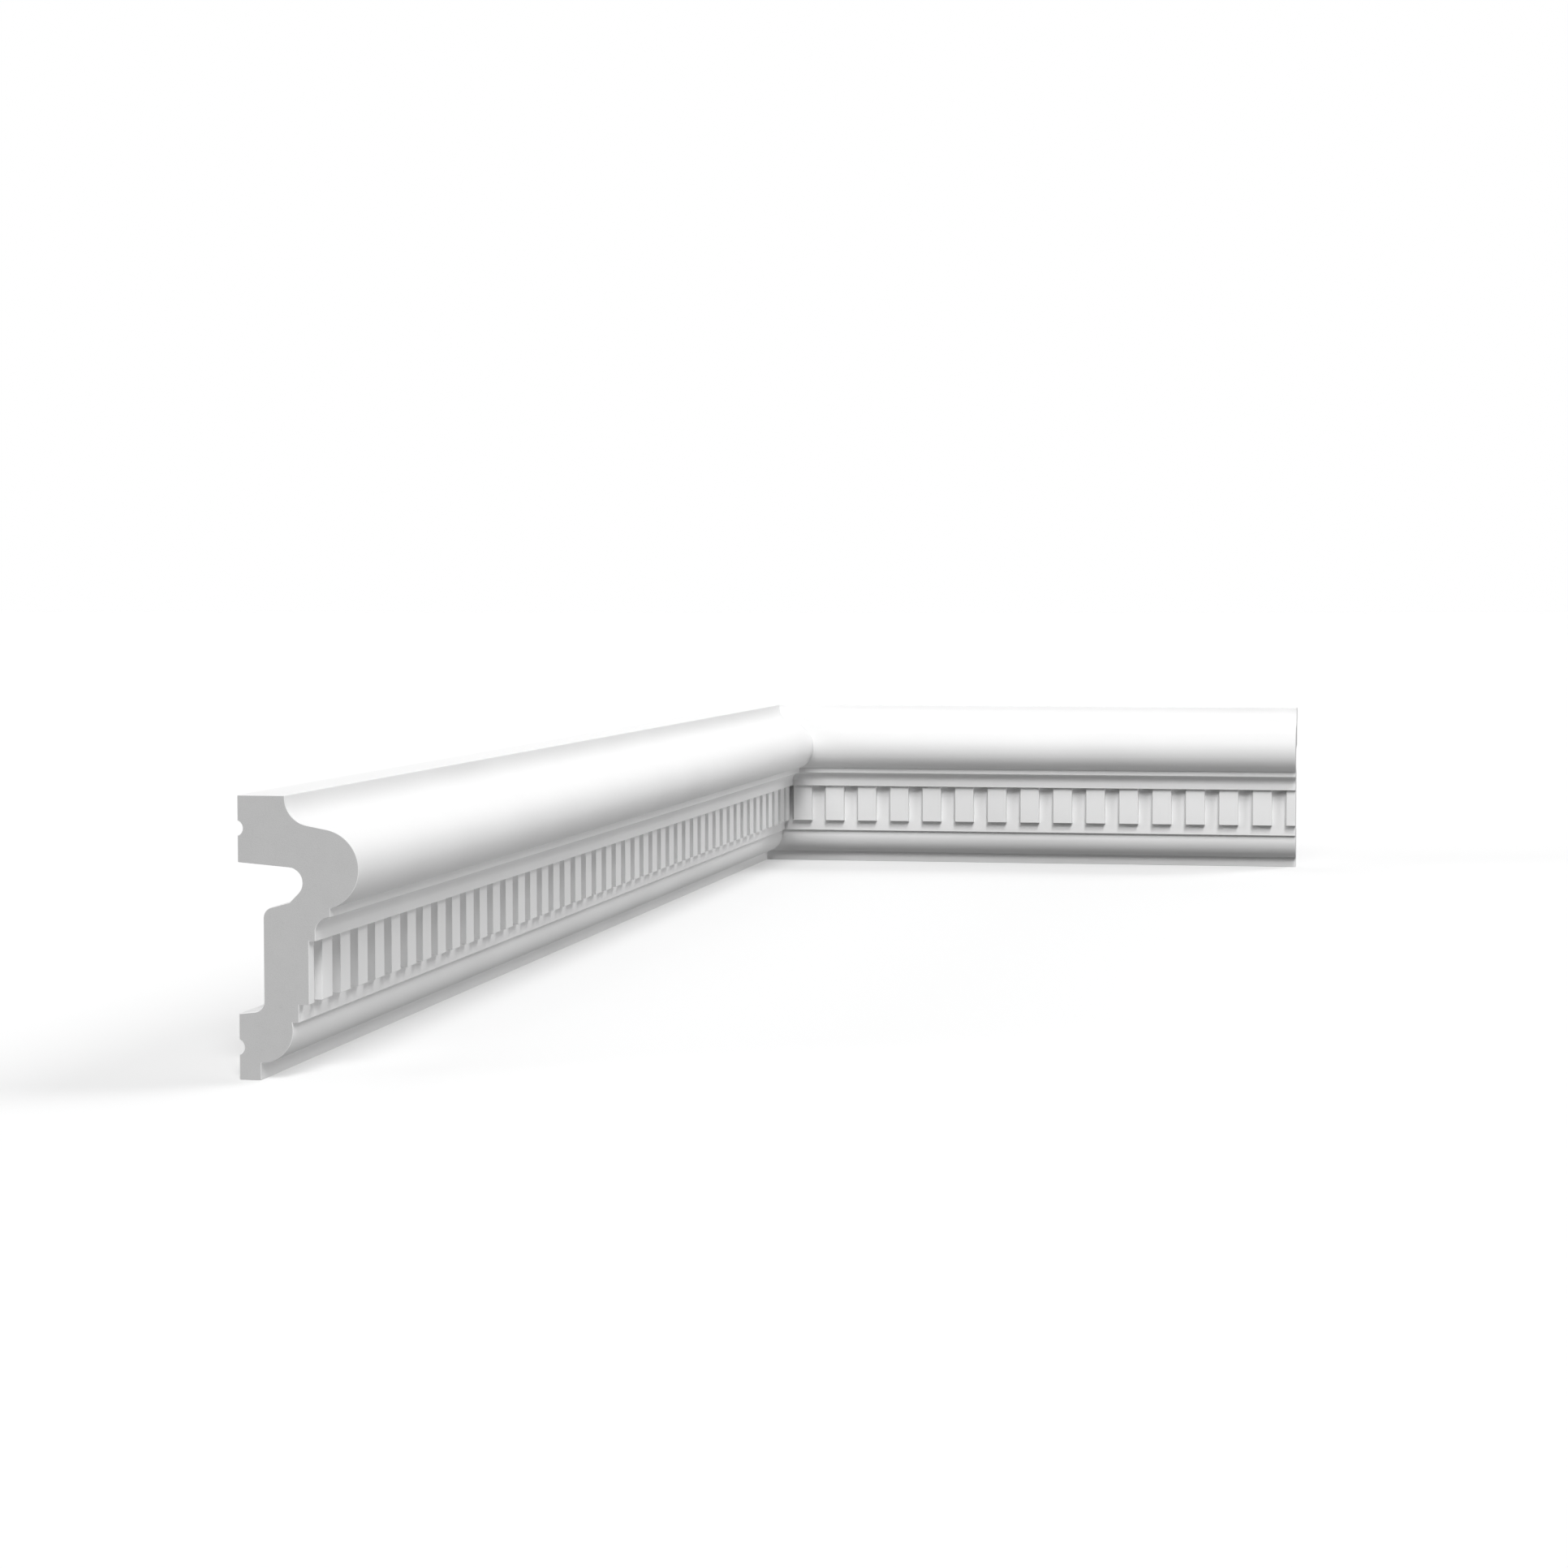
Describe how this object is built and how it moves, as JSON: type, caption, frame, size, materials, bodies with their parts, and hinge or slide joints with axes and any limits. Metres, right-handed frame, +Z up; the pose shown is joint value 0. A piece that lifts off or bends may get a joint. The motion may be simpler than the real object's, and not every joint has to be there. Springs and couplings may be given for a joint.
{
  "type": "dado rail moulding",
  "caption": "White dado rail with a dentil row under a bold torus, mitred round an inside wall corner, with a hollow back and adhesive grooves.",
  "frame": {"origin": "under the middle of the outline, on the plane that the underside stands on", "axes": "+Z up, +Y along the long length towards the corner, +X along the short length away from the corner"},
  "size_m": [0.31, 0.886, 0.09],
  "materials": {
    "white_primer": "factory white primer on dense polyurethane foam, soft satin"
  },
  "bodies": {
    "root": {"long_length": "white_primer", "short_length": "white_primer"}
  },
  "joints": []
}
